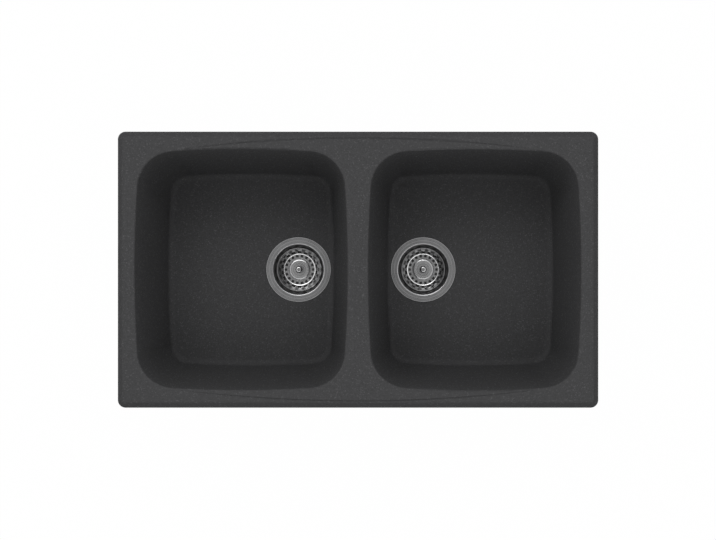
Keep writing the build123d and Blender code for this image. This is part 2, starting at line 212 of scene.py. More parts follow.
# %% [markdown]
# ## Quartz grain
# Stone composite is quartz sand cast in dark resin. Close up, each grain has its own
# grey, a few are pale enough to sparkle, and the face feels like fine sandpaper. Noise
# alone would look like cloud, because it has no edges. A Voronoi pattern splits space
# into cells and gives each cell one random number: a grain with a tone of its own.

# %% Shader group: mineral grain
# how many times finer the sandy relief is than the grains
SAND_FINENESS = 1.6

grain_tree, given, result = start_group(
    "mineral grain",
    {"Grain Size": 1.2 * MM, "Mottle Size": 5.0 * MM, "Fleck Share": 0.05},
    ("Tone", "Mottle", "Fleck", "Height"),
)
where = object_place(grain_tree)
grain_scale = per_metre(grain_tree, given["Grain Size"])
grains = place_node(grain_tree, "ShaderNodeTexVoronoi", {"Vector": where, "Scale": grain_scale})
grain_number = place_node(
    grain_tree, "ShaderNodeSeparateColor", {"Color": grains.outputs["Color"]}
).outputs[0]
mottle = noise(grain_tree, where, per_metre(grain_tree, given["Mottle Size"]), 3.0, 0.65)
sand = noise(grain_tree, where, maths(grain_tree, "MULTIPLY", grain_scale, SAND_FINENESS), 2.0)
fleck_edge = maths(grain_tree, "SUBTRACT", 1.0, given["Fleck Share"])
fleck = maths(grain_tree, "GREATER_THAN", grain_number, fleck_edge)
put_out(
    grain_tree, result, {"Tone": grain_number, "Mottle": mottle, "Fleck": fleck, "Height": sand}
)

# %% [markdown]
# ## Lathe rings
# The steel flanges are polished while they spin, so their scratches are rings about the
# strainer's axis. The Wave texture has rings too, but all alike and evenly spaced. Here
# the distance from the axis goes into a one-dimensional noise instead: the pattern
# changes outwards and stays the same all the way round, as real rings do. A little
# wander keeps them from being perfect circles.

# %% Shader group: lathe rings
WANDER_SCALE = 60.0
# how fast the broad rings change outwards, against the fine ones
BROAD_RING_RATE = 0.35

ring_tree, given, result = start_group(
    "lathe rings",
    {"Axis X": 0.0, "Axis Y": 0.0, "Ring Spacing": 0.5 * MM, "Wander": 0.15},
    ("Ring", "Broad Ring", "Radius"),
)
where = object_place(ring_tree)
xyz = place_node(ring_tree, "ShaderNodeSeparateXYZ", {0: where}).outputs
across_x = maths(ring_tree, "SUBTRACT", xyz[0], given["Axis X"])
across_y = maths(ring_tree, "SUBTRACT", xyz[1], given["Axis Y"])
squares = maths(
    ring_tree,
    "ADD",
    maths(ring_tree, "MULTIPLY", across_x, across_x),
    maths(ring_tree, "MULTIPLY", across_y, across_y),
)
radius = maths(ring_tree, "SQRT", squares)
even_turns = maths(ring_tree, "DIVIDE", radius, given["Ring Spacing"])
wander = maths(
    ring_tree, "MULTIPLY", noise(ring_tree, where, WANDER_SCALE, 1.0), given["Wander"]
)
turns = maths(ring_tree, "ADD", even_turns, wander)
fine_ring = noise_along(ring_tree, turns, 2.0)
broad_ring = noise_along(ring_tree, maths(ring_tree, "MULTIPLY", turns, BROAD_RING_RATE), 1.0)
put_out(ring_tree, result, {"Ring": fine_ring, "Broad Ring": broad_ring, "Radius": radius})

# %% [markdown]
# ## Handling marks
# Nothing stays evenly shiny: fingers, water and wiping leave soft patches and hairlines.
# Scratches could be painted, but a painted picture has one size and one place. This group
# gives a slow cloud for patches and a stretched noise for hairlines, at any size that a
# piece asks for. Every piece but the moulding uses it.

# %% Shader group: handling marks
HAIRLINE_TURN = (0.5, 0.3, 0.9)
HAIRLINE_STRETCH = (1.0, 0.06, 0.3)
# the part of each noise that is stretched to the full range from 0 to 1
PATCH_RANGE = (0.35, 0.7)
HAIRLINE_RANGE = (0.45, 0.75)

marks_tree, given, result = start_group(
    "handling marks", {"Patch Size": 30.0 * MM, "Hairline Size": 0.6 * MM}, ("Patch", "Hairline")
)
where = object_place(marks_tree)
patch = noise(marks_tree, where, per_metre(marks_tree, given["Patch Size"]), 4.0, 0.6)
stretched = place_node(
    marks_tree,
    "ShaderNodeMapping",
    {"Vector": where, "Rotation": HAIRLINE_TURN, "Scale": HAIRLINE_STRETCH},
).outputs["Vector"]
hairline = noise(marks_tree, stretched, per_metre(marks_tree, given["Hairline Size"]), 2.0)
put_out(
    marks_tree,
    result,
    {
        "Patch": ramp(marks_tree, patch, *PATCH_RANGE),
        "Hairline": ramp(marks_tree, hairline, *HAIRLINE_RANGE),
    },
)

# %% [markdown]
# ## Starting a finish
# Each finish is a new material with one Principled shader. What is the same all over
# the surface, such as how metallic it is, is set on the shader itself. What changes from
# place to place, such as colour, gloss and relief, is linked to it, and the plain
# roughness then stays on its socket as a typical value.


# %% Material helpers
def start_finish(name, roughness, metallic=0.0, specular=0.5):
    """A new material; returns it with its node tree and its Principled shader."""
    finish = bpy.data.materials.new(name)
    finish.use_nodes = True
    tree = finish.node_tree
    shader = tree.nodes["Principled BSDF"]
    shader.inputs["Roughness"].default_value = roughness
    shader.inputs["Metallic"].default_value = metallic
    shader.inputs["Specular IOR Level"].default_value = specular
    return finish, tree, shader


def use_group(tree, group, **inputs):
    """Place a shader group and set its inputs; returns its outputs."""
    placed = tree.nodes.new("ShaderNodeGroup")
    placed.node_tree = group
    for label, value in inputs.items():
        placed.inputs[label.replace("_", " ")].default_value = value
    return placed.outputs


def cover(tree, shader, colour, roughness, height, depth):
    """Link a colour, a roughness and a relief of some depth to a shader."""
    relief = place_node(tree, "ShaderNodeBump", {"Height": height, "Distance": depth})
    tree.links.new(colour, shader.inputs["Base Color"])
    tree.links.new(roughness, shader.inputs["Roughness"])
    tree.links.new(relief.outputs["Normal"], shader.inputs["Normal"])


def shade(tone, share):
    """A tone made darker or brighter."""
    return tuple(share * part for part in tone)


print("helpers: start_finish, use_group, cover, shade")

# %% [markdown]
# ## The moulding's finish
# The real face is almost black, dull and slightly sandy. One flat grey would look like
# painted card. So the colour is built from two greys by grain, clouded by the mottle, and
# lifted on the few pale grains. Pale quartz is also a little smoother than the resin
# round it, so it gets a lower roughness. The moulding hardly shines, even on its steep
# slopes, and its specular level is close to nothing.

# %% Finish: stone composite
COMPOSITE_DARK = (0.050, 0.050, 0.051)
COMPOSITE_LIGHT = (0.068, 0.068, 0.070)
COMPOSITE_FLECK = (0.10, 0.10, 0.103)
MOTTLE_RANGE = (0.3, 0.7)
MOTTLE_DARKENING = 0.35
FLECK_COVER = 0.6
RESIN_ROUGHNESS = 0.62
FLECK_ROUGHNESS = 0.4
SAND_DEPTH = 0.12 * MM

composite, tree, shader = start_finish("stone composite", roughness=0.6, specular=0.01)
grain = use_group(tree, grain_tree, Grain_Size=1.5 * MM, Mottle_Size=5 * MM, Fleck_Share=0.05)
grained = blend_colours(tree, grain["Tone"], COMPOSITE_DARK, COMPOSITE_LIGHT)
cloud = ramp(tree, grain["Mottle"], *MOTTLE_RANGE, MOTTLE_DARKENING, 0.0)
clouded = blend_colours(tree, cloud, grained, COMPOSITE_DARK)
fleck_mask = maths(tree, "MULTIPLY", grain["Fleck"], FLECK_COVER)
flecked = blend_colours(tree, fleck_mask, clouded, COMPOSITE_FLECK)
gloss = ramp(tree, grain["Fleck"], 0.0, 1.0, RESIN_ROUGHNESS, FLECK_ROUGHNESS)
cover(tree, shader, flecked, gloss, grain["Height"], SAND_DEPTH)
print("finish:", composite.name)

# %% [markdown]
# ## Spun and turned steel
# Three steels meet in each strainer. The flange is spun and polished, the hub and knob
# are turned, and the basket is pressed sheet. Steel has hardly a colour of its own: it
# shows the room, and its finish is in how blurred that picture is. So the tone changes
# little, and rings and marks go into roughness and relief. Bands between two radii are
# painted brighter as painted highlights on the edges.

# %% Finish: spun steel
BROAD_RING_RANGE = (0.35, 0.65)
FINE_RING_RANGE = (0.3, 0.7)
DARK_RING_SHADE = 0.66
WORN_COVER = 0.25
# how much brighter the painted highlight bands are than the steel
HIGHLIGHT_BRIGHTENING = 1.6
HIGHLIGHT_COVER = 0.8
HIGHLIGHT_FADE = 0.4 * MM
RING_GLOSS_SWING = 0.07
PATCH_DULLING = 0.06


def spun_steel(name, side, tone, roughness, spacing, depth, painted_highlight_bands=()):
    """Steel with rings about one strainer's axis, and painted highlights in bands between radii.
    """
    finish, tree, shader = start_finish(name, roughness, metallic=1.0)
    centre = drain_centre[side]
    rings = use_group(tree, ring_tree, Axis_X=centre.x, Axis_Y=centre.y, Ring_Spacing=spacing)
    marks = use_group(tree, marks_tree)
    dark = shade(tone, DARK_RING_SHADE)
    highlight_tone = shade(tone, HIGHLIGHT_BRIGHTENING)
    ringed = blend_colours(tree, ramp(tree, rings["Broad Ring"], *BROAD_RING_RANGE), dark, tone)
    worn_mask = maths(tree, "MULTIPLY", marks["Patch"], WORN_COVER)
    worn_and_highlighted = blend_colours(tree, worn_mask, ringed, dark)
    # painted highlight: each band between two radii is painted brighter than the steel
    for inner, outer in painted_highlight_bands:
        inside = ramp(tree, rings["Radius"], inner - HIGHLIGHT_FADE, inner)
        outside = ramp(tree, rings["Radius"], outer, outer + HIGHLIGHT_FADE, 1.0, 0.0)
        highlight_band = maths(tree, "MULTIPLY", inside, outside)
        worn_and_highlighted = blend_colours(tree, maths(tree, "MULTIPLY", highlight_band, HIGHLIGHT_COVER), worn_and_highlighted, highlight_tone)
    smooth, rough = roughness - RING_GLOSS_SWING, roughness + RING_GLOSS_SWING
    ring_gloss = ramp(tree, rings["Ring"], *FINE_RING_RANGE, smooth, rough)
    dulling = maths(tree, "MULTIPLY", marks["Patch"], PATCH_DULLING)
    cover(tree, shader, worn_and_highlighted, maths(tree, "ADD", ring_gloss, dulling), rings["Ring"], depth)
    return finish


print("helper: spun_steel")

# %% [markdown]
# The flange's inner lip and its outer edge get painted highlights: bands painted bright. The
# hub and the knob are smaller and turned finer, so their rings are closer and shallower.

# %% Finish: flange, hub and knob
FLANGE_TONE = (0.37, 0.37, 0.375)
TURNED_TONE = (0.62, 0.62, 0.625)
# radii of the painted highlights on the flange's inner lip and outer edge
LIP_HIGHLIGHT_BAND = (47.2 * MM, 49.4 * MM)
EDGE_HIGHLIGHT_BAND = (61.2 * MM, 62.5 * MM)

flange_steel, hub_steel, knob_steel = {}, {}, {}
for side in SIDES:
    flange_steel[side] = spun_steel(
        f"{side} flange steel",
        side,
        FLANGE_TONE,
        roughness=0.3,
        spacing=0.8 * MM,
        depth=0.05 * MM,
        painted_highlight_bands=(LIP_HIGHLIGHT_BAND, EDGE_HIGHLIGHT_BAND),
    )
    hub_steel[side] = spun_steel(
        f"{side} hub steel",
        side,
        TURNED_TONE,
        roughness=0.24,
        spacing=0.7 * MM,
        depth=0.02 * MM,
    )
    knob_steel[side] = spun_steel(
        f"{side} knob steel",
        side,
        TURNED_TONE,
        roughness=0.12,
        spacing=0.5 * MM,
        depth=0.006 * MM,
    )
print("finishes:", [steel["left"].name for steel in (flange_steel, hub_steel, knob_steel)])

# %% [markdown]
# ## Plated steel and brass
# Screws, clamps and inserts are small and mostly in the dark, where lathe rings would be
# too fine to see. They need only patches where the face has gone dull, and hairlines from
# handling, in no particular direction.

# %% Finish: plated steel and brass
DULL_SHADE = 0.75
DULL_COVER = 0.5
HAIRLINE_SMOOTHER = 0.05
HAIRLINE_ROUGHER = 0.1


def worn_metal(name, tone, roughness, depth):
    """Plated or bare metal with dull patches and hairlines."""
    finish, tree, shader = start_finish(name, roughness, metallic=1.0)
    marks = use_group(tree, marks_tree, Patch_Size=12 * MM, Hairline_Size=0.5 * MM)
    dull_mask = maths(tree, "MULTIPLY", marks["Patch"], DULL_COVER)
    patched = blend_colours(tree, dull_mask, tone, shade(tone, DULL_SHADE))
    smooth, rough = roughness - HAIRLINE_SMOOTHER, roughness + HAIRLINE_ROUGHER
    gloss = ramp(tree, marks["Hairline"], 0.0, 1.0, smooth, rough)
    cover(tree, shader, patched, gloss, marks["Hairline"], depth)
    return finish


plated_steel = worn_metal("zinc plated steel", (0.60, 0.62, 0.65), 0.36, 0.02 * MM)
brass = worn_metal("turned brass", (0.72, 0.52, 0.24), 0.3, 0.01 * MM)
print("finishes:", plated_steel.name, "and", brass.name)

# %% [markdown]
# ## The basket's finish
# The basket is one sheet. Its floor keeps the brushed face of the sheet, its foot is
# painted bright as a painted highlight, the tabs between its slots are frosted by
# tumbling, and its wall is scuffed and painted dark as painted shade, with a darker rim.
# Three materials on one mesh would leave hard edges where they meet, so one material
# blends its tones by the distance from the strainer's axis.

# %% Finish: pressed basket
BASKET_FLOOR_TONE = (0.60, 0.60, 0.605)
# painted highlight: the foot is painted brighter than the floor
BASKET_FOOT_HIGHLIGHT_TONE = (0.80, 0.80, 0.805)
# painted shade: the wall is painted dark; the scuff patches take this tone too
BASKET_WALL_SHADE_AND_SCUFF_TONE = (0.13, 0.13, 0.132)
BASKET_RIM_TONE = (0.34, 0.34, 0.343)
# where each part of the basket begins, as the radii between which it fades in
FOOT_HIGHLIGHT_START = (28.5 * MM, 29.5 * MM)
TABS_START = (30.6 * MM, 31.6 * MM)
WALL_START = (35.2 * MM, 36.6 * MM)
RIM_START = (39.9 * MM, 40.5 * MM)
SCUFF_COVER = 0.3
BRUSHED_ROUGHNESS = (0.2, 0.3)
TAB_FROST = 0.26
BRUSH_DEPTH = 0.008 * MM


def basket_finish(side):
    """Pressed steel: a brushed floor, a foot painted bright as a highlight, a wall painted dark as
    shade, and a darker rim.
    """
    finish, tree, shader = start_finish(f"{side} basket steel", roughness=0.24, metallic=1.0)
    centre = drain_centre[side]
    rings = use_group(tree, ring_tree, Axis_X=centre.x, Axis_Y=centre.y, Ring_Spacing=0.9 * MM)
    marks = use_group(tree, marks_tree, Patch_Size=12 * MM, Hairline_Size=0.5 * MM)
    foot = ramp(tree, rings["Radius"], *FOOT_HIGHLIGHT_START)
    wall = ramp(tree, rings["Radius"], *WALL_START)
    rim = ramp(tree, rings["Radius"], *RIM_START)
    # the foot's painted highlight and the wall's painted shade are blended in here
    with_foot_highlight = blend_colours(tree, foot, BASKET_FLOOR_TONE, BASKET_FOOT_HIGHLIGHT_TONE)
    with_wall_shade = blend_colours(tree, wall, with_foot_highlight, BASKET_WALL_SHADE_AND_SCUFF_TONE)
    with_rim = blend_colours(tree, rim, with_wall_shade, BASKET_RIM_TONE)
    scuffs = maths(tree, "MULTIPLY", marks["Patch"], SCUFF_COVER)
    scuffed_and_painted = blend_colours(tree, scuffs, with_rim, BASKET_WALL_SHADE_AND_SCUFF_TONE)
    past_tab_start = ramp(tree, rings["Radius"], *TABS_START)
    tabs = maths(tree, "MULTIPLY", past_tab_start, maths(tree, "SUBTRACT", 1.0, wall))
    brushed = ramp(tree, marks["Hairline"], 0.0, 1.0, *BRUSHED_ROUGHNESS)
    frosted = maths(tree, "ADD", brushed, maths(tree, "MULTIPLY", tabs, TAB_FROST))
    cover(tree, shader, scuffed_and_painted, frosted, marks["Hairline"], BRUSH_DEPTH)
    return finish


basket_steel = {side: basket_finish(side) for side in SIDES}
print("finishes:", [finish.name for finish in basket_steel.values()])

# %% [markdown]
# ## Rubber, foam and plastic
# These pieces are only seen from below or when the basket is out. Rubber is dull with a
# dusty bloom, foam has open pores, and the waste body is white plastic with a slightly
# pebbled mould face. They differ in amounts, not in kind, so one recipe makes all three.

# %% Finish: soft and moulded pieces
BLOOM_COVER = 0.6
PORE_GLOSS_SWING = 0.06


def moulded(name, tone, bloom, roughness, pore_size, depth):
    """A non-metal with a patchy bloom and a fine pebbled or porous face."""
    finish, tree, shader = start_finish(name, roughness)
    marks = use_group(tree, marks_tree, Patch_Size=25 * MM)
    pores = use_group(tree, grain_tree, Grain_Size=pore_size, Mottle_Size=8 * MM)
    bloom_mask = maths(tree, "MULTIPLY", marks["Patch"], BLOOM_COVER)
    bloomed = blend_colours(tree, bloom_mask, tone, bloom)
    smooth, rough = roughness - PORE_GLOSS_SWING, roughness + PORE_GLOSS_SWING
    gloss = ramp(tree, pores["Tone"], 0.0, 1.0, smooth, rough)
    cover(tree, shader, bloomed, gloss, pores["Height"], depth)
    return finish


rubber = moulded(
    "black rubber",
    tone=(0.018, 0.018, 0.018),
    bloom=(0.04, 0.04, 0.042),
    roughness=0.7,
    pore_size=0.8 * MM,
    depth=0.05 * MM,
)
seal_foam = moulded(
    "seal foam",
    tone=(0.035, 0.035, 0.036),
    bloom=(0.07, 0.07, 0.07),
    roughness=0.9,
    pore_size=1.2 * MM,
    depth=0.3 * MM,
)
waste_plastic = moulded(
    "white waste plastic",
    tone=(0.74, 0.74, 0.72),
    bloom=(0.64, 0.64, 0.61),
    roughness=0.42,
    pore_size=0.9 * MM,
    depth=0.03 * MM,
)
print("finishes:", [finish.name for finish in (rubber, seal_foam, waste_plastic)])

# %% [markdown]
# ## Screw threads
# The waste spigots and the clamp screws come from the frame as plain rods, but on the
# real sink a nut or a bush runs on them. A thread is one groove that climbs as it goes
# round. It could be a bump in the material, but its outline would stay straight, so it
# is cut for real. The cutter is a tube: its outside is plain, and its inside is a grid in
# which each point's radius follows from its height and its angle.

# %% Thread cutter
ROWS_PER_TURN = 6
CUTTER_GAP = 0.05 * MM
# the groove's profile over one turn, a peak cut off flat at 1 and at 0
GROOVE_PEAK = 1.5
GROOVE_SLOPE = 2.6
# the tube's thickness, in groove depths
TUBE_WALL = 3


def on_circle(centre, radius, turn, height):
    """A point at a part of a turn round an upright axis."""
    angle = math.tau * turn
    return (centre.x + radius * math.cos(angle), centre.y + radius * math.sin(angle), height)


def thread_cutter(centre, bottom, top, rod_radius, depth, pitch, steps):
    """A tube that takes a climbing groove out of a rod on an upright axis."""
    rows = round(ROWS_PER_TURN * (top - bottom) / pitch)
    points = []
    for row in range(rows + 1):
        height = bottom + (top - bottom) * row / rows
        run_out = min(1.0, (top - height) / pitch)
        for step in range(steps):
            turn = (height / pitch - step / steps) % 1.0
            peak = GROOVE_PEAK - GROOVE_SLOPE * abs(2 * turn - 1)
            groove = min(1.0, max(0.0, peak))
            radius = rod_radius + CUTTER_GAP - (depth + CUTTER_GAP) * groove * run_out
            points.append(on_circle(centre, radius, step / steps, height))
    outside = rod_radius + TUBE_WALL * depth
    for height in (bottom, top):
        points += [on_circle(centre, outside, step / steps, height) for step in range(steps)]
    loops = [range(row * steps, (row + 1) * steps) for row in range(rows + 3)]
    *inner, outer_bottom, outer_top = loops
    ring_of_loops = [outer_bottom, *inner, outer_top, outer_bottom]
    faces = []
    for lower, upper in zip(ring_of_loops, ring_of_loops[1:]):
        for step in range(steps):
            after = (step + 1) % steps
            faces.append((lower[step], upper[step], upper[after], lower[after]))
    mesh = bpy.data.meshes.new("thread cutter")
    mesh.from_pydata(points, [], faces)
    return mesh


print("helpers: on_circle, thread_cutter")

# %% [markdown]
# A mesh that comes from a frame has loose corners, and smooth shading needs them joined.
# It also needs to stop at real edges, or a flat face beside a thread looks dented.

# %% Mesh helpers
WELD_DISTANCE = 0.001 * MM


def weld(mesh):
    """Join corners that lie on each other."""
    work = bmesh.new()
    work.from_mesh(mesh)
    bmesh.ops.remove_doubles(work, verts=work.verts, dist=WELD_DISTANCE)
    work.to_mesh(mesh)
    work.free()


def crisp_edges(mesh, angle):
    """Smooth shading, broken where faces meet at more than an angle."""
    work = bmesh.new()
    work.from_mesh(mesh)
    bmesh.ops.recalc_face_normals(work, faces=work.faces)
    for face in work.faces:
        face.smooth = True
    for edge in work.edges:
        edge.smooth = edge.calc_face_angle(0.0) < angle
    work.to_mesh(mesh)
    work.free()


def stand_in(name, mesh, node, body):
    """A piece that takes the place of one of the frame's, on the same body."""
    piece = bpy.data.objects.new(name, mesh)
    bpy.context.scene.collection.objects.link(piece)
    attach(piece, body)
    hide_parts(node)
    return piece


print("helpers: weld, crisp_edges, stand_in")

# %% [markdown]
# The frame's own pieces stay untouched. Each threaded piece is a copy with welded
# corners, cut by a Boolean modifier, and it stands for the frame's piece from then on.

# %% Cut a thread into a copy of a piece
THREAD_CREASE = math.radians(32)


def threaded_copy(node, body, slot, **thread):
    """Replace one piece by a copy with a thread cut into it."""
    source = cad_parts[node].data
    mesh = bpy.data.meshes.new(node + " threaded")
    corners = [corner.co for corner in source.vertices]
    mesh.from_pydata(corners, [], [tuple(face.vertices) for face in source.polygons])
    weld(mesh)
    piece = stand_in(node + "_threaded", mesh, node, body)
    cutter = bpy.data.objects.new("thread cutter", thread_cutter(middle(node), **thread))
    bpy.context.scene.collection.objects.link(cutter)
    cut = piece.modifiers.new("thread", "BOOLEAN")
    cut.operation = "DIFFERENCE"
    cut.solver = "EXACT"
    cut.object = cutter
    bpy.context.view_layer.update()
    seen = piece.evaluated_get(bpy.context.evaluated_depsgraph_get())
    piece.data = bpy.data.meshes.new_from_object(seen)
    piece.modifiers.clear()
    bpy.data.objects.remove(cutter)
    crisp_edges(piece.data, THREAD_CREASE)
    return piece


print("helper: threaded_copy")

# %% [markdown]
# The spigots have the coarse thread of a 1 1/2 inch trap nut, and the clamp screws a
# common 5 mm thread. Each thread starts at the free end, with a cutter that reaches a
# little past it, and runs out where it stops.

# %% Thread the spigots and the clamp screws
PAST_END = 1.0 * MM
SPIGOT_THREAD_LENGTH = 28.0 * MM
SPIGOT_THREAD = {"rod_radius": 23.9 * MM, "depth": 1.48 * MM, "pitch": 2.309 * MM, "steps": 72}
# from the bottom of the screw's head to where its thread starts
SCREW_PLAIN_LENGTH = 8.0 * MM
SCREW_THREAD = {"rod_radius": 2.5 * MM, "depth": 0.43 * MM, "pitch": 0.8 * MM, "steps": 16}

stand_ins = {}
for side in SIDES:
    node = f"{side}_waste_body"
    low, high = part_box(node)
    ends = {"bottom": low.z - PAST_END, "top": low.z + SPIGOT_THREAD_LENGTH}
    stand_ins[node] = threaded_copy(node, "sink", "white_waste_plastic", **ends, **SPIGOT_THREAD)
for number in CLAMPS:
    node = f"clamp_screw_{number}"
    low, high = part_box(node)
    ends = {"bottom": low.z + SCREW_PLAIN_LENGTH, "top": high.z + PAST_END}
    stand_ins[node] = threaded_copy(
        node, f"screw_{number}", "plated_steel", **ends, **SCREW_THREAD
    )
print("threaded:", {name: len(piece.data.polygons) for name, piece in stand_ins.items()})

# %% [markdown]
# ## Turned hub and knob
# The hub plate and the knob are turned on a lathe, and their look hangs on how their
# edges roll over: a shallow shoulder catches a lamp as one long crescent, and a square
# edge catches almost nothing. A bevel would round the edge, but with one radius only.
# So each piece is an outline spun round the strainer's axis, and the outline's shoulder
# starts steep and ends nearly flat.

# %% Lathe
TURNED_STEPS = 96
TURNED_CREASE = math.radians(40)
SHOULDER_STEPS = 6


def turned_piece(node, body, outline):
    """Spin (radius, height) points about an axis; their ends meet each other or lie on it."""
    centre = middle(node)
    points = []
    for radius, height in outline:
        for step in range(TURNED_STEPS):
            points.append(on_circle(centre, radius, step / TURNED_STEPS, height))
    rows = len(outline)
    on_axis = outline[0][0] == 0
    faces = []
    for row in range(rows - 1 if on_axis else rows):
        first, second = row * TURNED_STEPS, (row + 1) % rows * TURNED_STEPS
        for step in range(TURNED_STEPS):
            after = (step + 1) % TURNED_STEPS
            faces.append((first + step, first + after, second + after, second + step))
    mesh = bpy.data.meshes.new(node + " turned")
    mesh.from_pydata(points, [], faces)
    weld(mesh)
    crisp_edges(mesh, TURNED_CREASE)
    return stand_in(node + "_turned", mesh, node, body)


def shoulder_under(top, radius, width, tilts):
    """Points of a shoulder from an outer radius inwards, from one tilt to another, up to a top."""
    points = []
    height = 0.0
    for step in range(SHOULDER_STEPS + 1):
        points.append((radius, height))
        tilt = math.radians(tilts[0] + (tilts[1] - tilts[0]) * step / SHOULDER_STEPS)
        radius -= width / SHOULDER_STEPS
        height += width / SHOULDER_STEPS * math.tan(tilt)
    drop = top - points[-1][1]
    return [(radius, height + drop) for radius, height in points]


print("helpers: turned_piece, shoulder_under")

# %% [markdown]
# The hub is a plate with a short sleeve round the stem. Close rings of points beside each
# bend keep the flat part flat, because smooth shading spreads a bend over whole faces.

# %% Turn the hubs
STEM_RADIUS = 3.0 * MM
STEM_CLEARANCE = 0.08 * MM
HUB_BORE = STEM_RADIUS + STEM_CLEARANCE
SLEEVE_HEIGHT = 2.0 * MM
SLEEVE_RADIUS = 5.2 * MM
SLEEVE_BEVEL = 0.5 * MM
# the small slope at the sleeve's foot: how far out from the sleeve, how far up
SLEEVE_FOOT = ((0.9 * MM, 0.0), (0.7 * MM, 0.0), (0.1 * MM, 0.3 * MM))
HUB_SHOULDER_INSET = 0.2 * MM
HUB_SHOULDER_WIDTH = 3.4 * MM
HUB_SHOULDER_TILTS = (27, 12)
BESIDE_BEND = 0.15 * MM

for side in SIDES:
    node = f"{side}_basket_hub"
    low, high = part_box(node)
    hub_radius = (high.x - low.x) / 2
    plate_top = high.z - SLEEVE_HEIGHT
    shoulder = shoulder_under(
        plate_top, hub_radius - HUB_SHOULDER_INSET, HUB_SHOULDER_WIDTH, HUB_SHOULDER_TILTS
    )
    outline = [
        (HUB_BORE, low.z),
        (hub_radius, low.z),
        (hub_radius, shoulder[0][1] - BESIDE_BEND),
        *shoulder,
        (shoulder[-1][0] - BESIDE_BEND, plate_top),
        *[(SLEEVE_RADIUS + out, plate_top + up) for out, up in SLEEVE_FOOT],
        (SLEEVE_RADIUS, high.z - SLEEVE_BEVEL),
        (SLEEVE_RADIUS - SLEEVE_BEVEL, high.z),
        (HUB_BORE, high.z),
    ]
    stand_ins[node] = turned_piece(node, f"{side}_strainer_basket", outline)
shoulder_drop = shoulder[-1][1] - shoulder[0][1]
print("hub radius", round(hub_radius, 4), "shoulder drop", round(shoulder_drop, 4))

# %% [markdown]
# The knob is a small mushroom: a sloping crown that one finger and a thumb grip by its
# edge, a shallow dish in its top, and a stem that runs down through hub and stopper.

# %% Turn the knobs
STEM_BEVEL = 0.3 * MM
KNOB_HEIGHT = 8.0 * MM
NECK_RADIUS = 4.4 * MM
NECK_SLOPE = 2.0 * MM
CROWN_INSET = 0.3 * MM
CROWN_WIDTH = 3.0 * MM
CROWN_TILTS = (34, 12)
# the rounded grip under the crown: how far in from the knob's radius and how far down
GRIP = ((0.4 * MM, 1.3 * MM), (0.0, 0.8 * MM), (0.0, 0.3 * MM))
GRIP_HEIGHT = 2.4 * MM
DISH_INSET = 0.3 * MM
DISH_SLOPE = (1.2 * MM, 0.12 * MM)
DISH_DEPTH = 0.2 * MM

for side in SIDES:
    node = f"{side}_basket_knob"
    low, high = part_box(node)
    knob_radius = (high.x - low.x) / 2
    neck = high.z - KNOB_HEIGHT
    crown = shoulder_under(high.z, knob_radius - CROWN_INSET, CROWN_WIDTH, CROWN_TILTS)
    crown_foot = crown[0][1]
    dish_radius = crown[-1][0] - DISH_INSET
    outline = [
        (0, low.z),
        (STEM_RADIUS - STEM_BEVEL, low.z),
        (STEM_RADIUS, low.z + STEM_BEVEL),
        (STEM_RADIUS, neck - NECK_SLOPE),
        (NECK_RADIUS, neck),
        (NECK_RADIUS, crown_foot - GRIP_HEIGHT),
        *[(knob_radius - inwards, crown_foot - down) for inwards, down in GRIP],
        *crown,
        (dish_radius, high.z),
        (dish_radius - DISH_SLOPE[0], high.z - DISH_SLOPE[1]),
        (dish_radius / 3, high.z - DISH_DEPTH),
        (0, high.z - DISH_DEPTH),
    ]
    stand_ins[node] = turned_piece(node, f"{side}_stopper", outline)
print("knob radius", round(knob_radius, 4), "neck at", round(neck, 4))

# %% [markdown]
# ## Dress the pieces
# A piece from the frame keeps its shape and takes its finish through its material slot.
# Painting faces one by one would also work, but on the real sink each piece is one
# material all over, so each mesh gets exactly one.


# %% Give every piece its finish
def dress(node, finish):
    """Put one finish on a whole piece."""
    mesh = stand_ins[node].data if node in stand_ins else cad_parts[node].data
    mesh.materials.clear()
    mesh.materials.append(finish)


dress("sink_body", composite)
dress("rim_seal_strip", seal_foam)
dress("clamp_bushes", brass)
for side in SIDES:
    dress(f"{side}_strainer_cup", flange_steel[side])
    dress(f"{side}_basket_hub", hub_steel[side])
    dress(f"{side}_basket_knob", knob_steel[side])
    dress(f"{side}_basket", basket_steel[side])
    dress(f"{side}_stem_clip", plated_steel)
    dress(f"{side}_cup_screw", plated_steel)
    dress(f"{side}_brass_insert", brass)
    dress(f"{side}_basket_plug", rubber)
    dress(f"{side}_body_gasket", rubber)
    dress(f"{side}_flange_gasket", seal_foam)
    dress(f"{side}_waste_body", waste_plastic)
for number in CLAMPS:
    dress(f"clamp_{number}", plated_steel)
    dress(f"clamp_screw_{number}", plated_steel)
print("dressed:", len(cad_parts), "pieces,", len(stand_ins), "of them remodelled")

# %% [markdown]
# ## The white table
# The sink is shown over a plain white table. It lies just under the spigots, and it is so
# wide that its edges stay out of every view.

# %% Make the table
TABLE_DROP = 0.02
TABLE_HALF = 12.0
table_z = CAD_BOX[0].z - TABLE_DROP
signs = ((-1, -1), (1, -1), (1, 1), (-1, 1))
corners = [(x * TABLE_HALF, y * TABLE_HALF, table_z) for x, y in signs]
table_mesh = bpy.data.meshes.new("table")
table_mesh.from_pydata(corners, [], [(0, 1, 2, 3)])
table = bpy.data.objects.new("table", table_mesh)
bpy.context.scene.collection.objects.link(table)
print("table at", round(table_z, 3))

# %% [markdown]
# A table that is white because much light falls on it would wash out the dark moulding
# too. So it glows white, only for the camera and for reflections, and is an ordinary grey
# to everything else. A small share of it stays paint for the camera as well, which keeps
# a faint shadow. From below it is clear, so that the sink's underside can be looked at.

# %% Finish: table white
PAINT = 0.22
GLOW_SHARE = 0.96
GLOW_STRENGTH = 1.03

